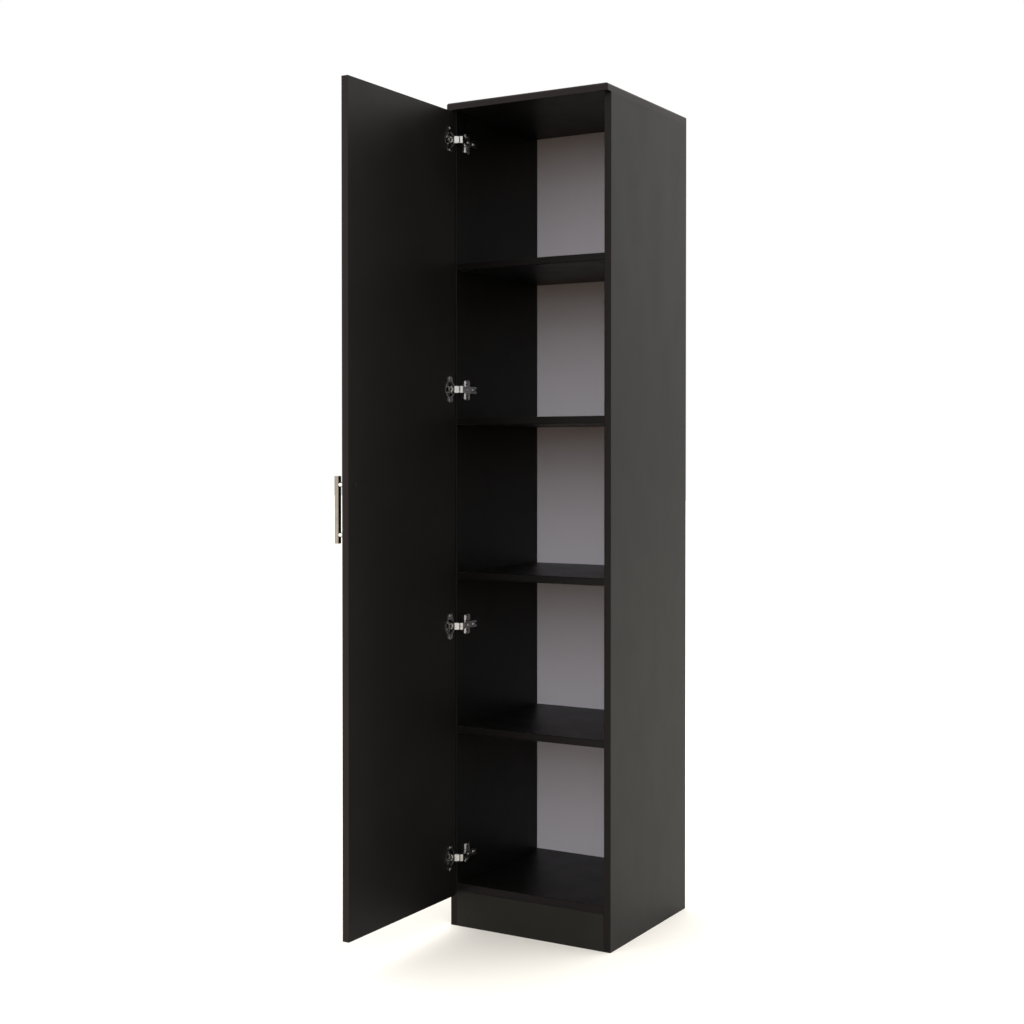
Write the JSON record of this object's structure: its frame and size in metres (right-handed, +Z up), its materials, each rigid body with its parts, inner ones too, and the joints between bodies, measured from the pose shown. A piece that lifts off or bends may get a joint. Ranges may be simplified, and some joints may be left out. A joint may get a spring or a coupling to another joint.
{
  "type": "pantry cabinet",
  "caption": "Tall narrow pantry cabinet with a full-height door on concealed cup hinges, fixed shelves, flush plinth and a bar handle.",
  "frame": {"origin": "on the floor, at mid-width, in the plane of the carcass boards' front edges", "axes": "+Z up, +Y from the front to the back, +X to the right as seen from the front"},
  "size_m": [0.4355, 0.786, 1.83],
  "materials": {
    "black_board": "satin black melamine coating on particleboard",
    "white_back": "smooth satin white lacquered hardboard",
    "satin_nickel": "satin nickel plating, brushed round the bar",
    "hinge_nickel": "nickel plated pressed steel, semi-bright",
    "link_steel": "plain plated steel, slightly greased",
    "screw_steel": "nickel plated screws",
    "zinc_alloy": "cast zinc alloy, dull",
    "black_plastic": "fine matt black moulded plastic",
    "black_screw": "black lacquered screw heads",
    "beech": "raw fluted beech"
  },
  "bodies": {
    "carcass": {"arm_adjust_screws": "screw_steel", "arm_clamp_screws": "screw_steel", "arm_pins": "link_steel", "back_panel": "white_back", "bottom_panel": "black_board", "cam_bolts": "zinc_alloy", "cam_caps": "black_plastic", "cam_locks": "zinc_alloy", "hinge_arm_1": "hinge_nickel", "hinge_arm_2": "hinge_nickel", "hinge_arm_3": "hinge_nickel", "hinge_arm_4": "hinge_nickel", "left_side_panel": "black_board", "mounting_plate_1": "hinge_nickel", "mounting_plate_2": "hinge_nickel", "mounting_plate_3": "hinge_nickel", "mounting_plate_4": "hinge_nickel", "plate_screws": "screw_steel", "plinth_board": "black_board", "right_side_panel": "black_board", "shelf_1": "black_board", "shelf_2": "black_board", "shelf_3": "black_board", "shelf_4": "black_board", "top_panel": "black_board", "wood_dowels": "beech"},
    "short_links": {"short_link_1": "link_steel", "short_link_2": "link_steel", "short_link_3": "link_steel", "short_link_4": "link_steel"},
    "long_links": {"long_link_1": "link_steel", "long_link_2": "link_steel", "long_link_3": "link_steel", "long_link_4": "link_steel"},
    "door": {"cup_pins": "link_steel", "cup_screws": "screw_steel", "door_panel": "black_board", "handle_bar": "satin_nickel", "handle_post_lower": "satin_nickel", "handle_post_upper": "satin_nickel", "handle_screws": "black_screw", "hinge_cup_1": "hinge_nickel", "hinge_cup_2": "hinge_nickel", "hinge_cup_3": "hinge_nickel", "hinge_cup_4": "hinge_nickel"}
  },
  "joints": [
    {"name": "short_link_pivot", "type": "hinge", "parent": "carcass", "child": "short_links", "pos_m": [-0.17952, -0.0058, 0], "axis": [0, 0, 1], "range_deg": [-64.47, 3.54]},
    {"name": "long_link_pivot", "type": "hinge", "parent": "carcass", "child": "long_links", "pos_m": [-0.16843, -0.01062, 0], "axis": [0, 0, 1], "range_deg": [-41.6, 2.4]},
    {"name": "door_pivot", "type": "hinge", "parent": "short_links", "child": "door", "pos_m": [-0.186, -0.0152, 0], "axis": [0, 0, 1], "range_deg": [-8.5, 154.46]}
  ],
  "couplings": [
    {"joint": "door_pivot", "follows": "short_link_pivot", "ratio": -2.3955},
    {"joint": "long_link_pivot", "follows": "short_link_pivot", "ratio": 0.64388}
  ]
}
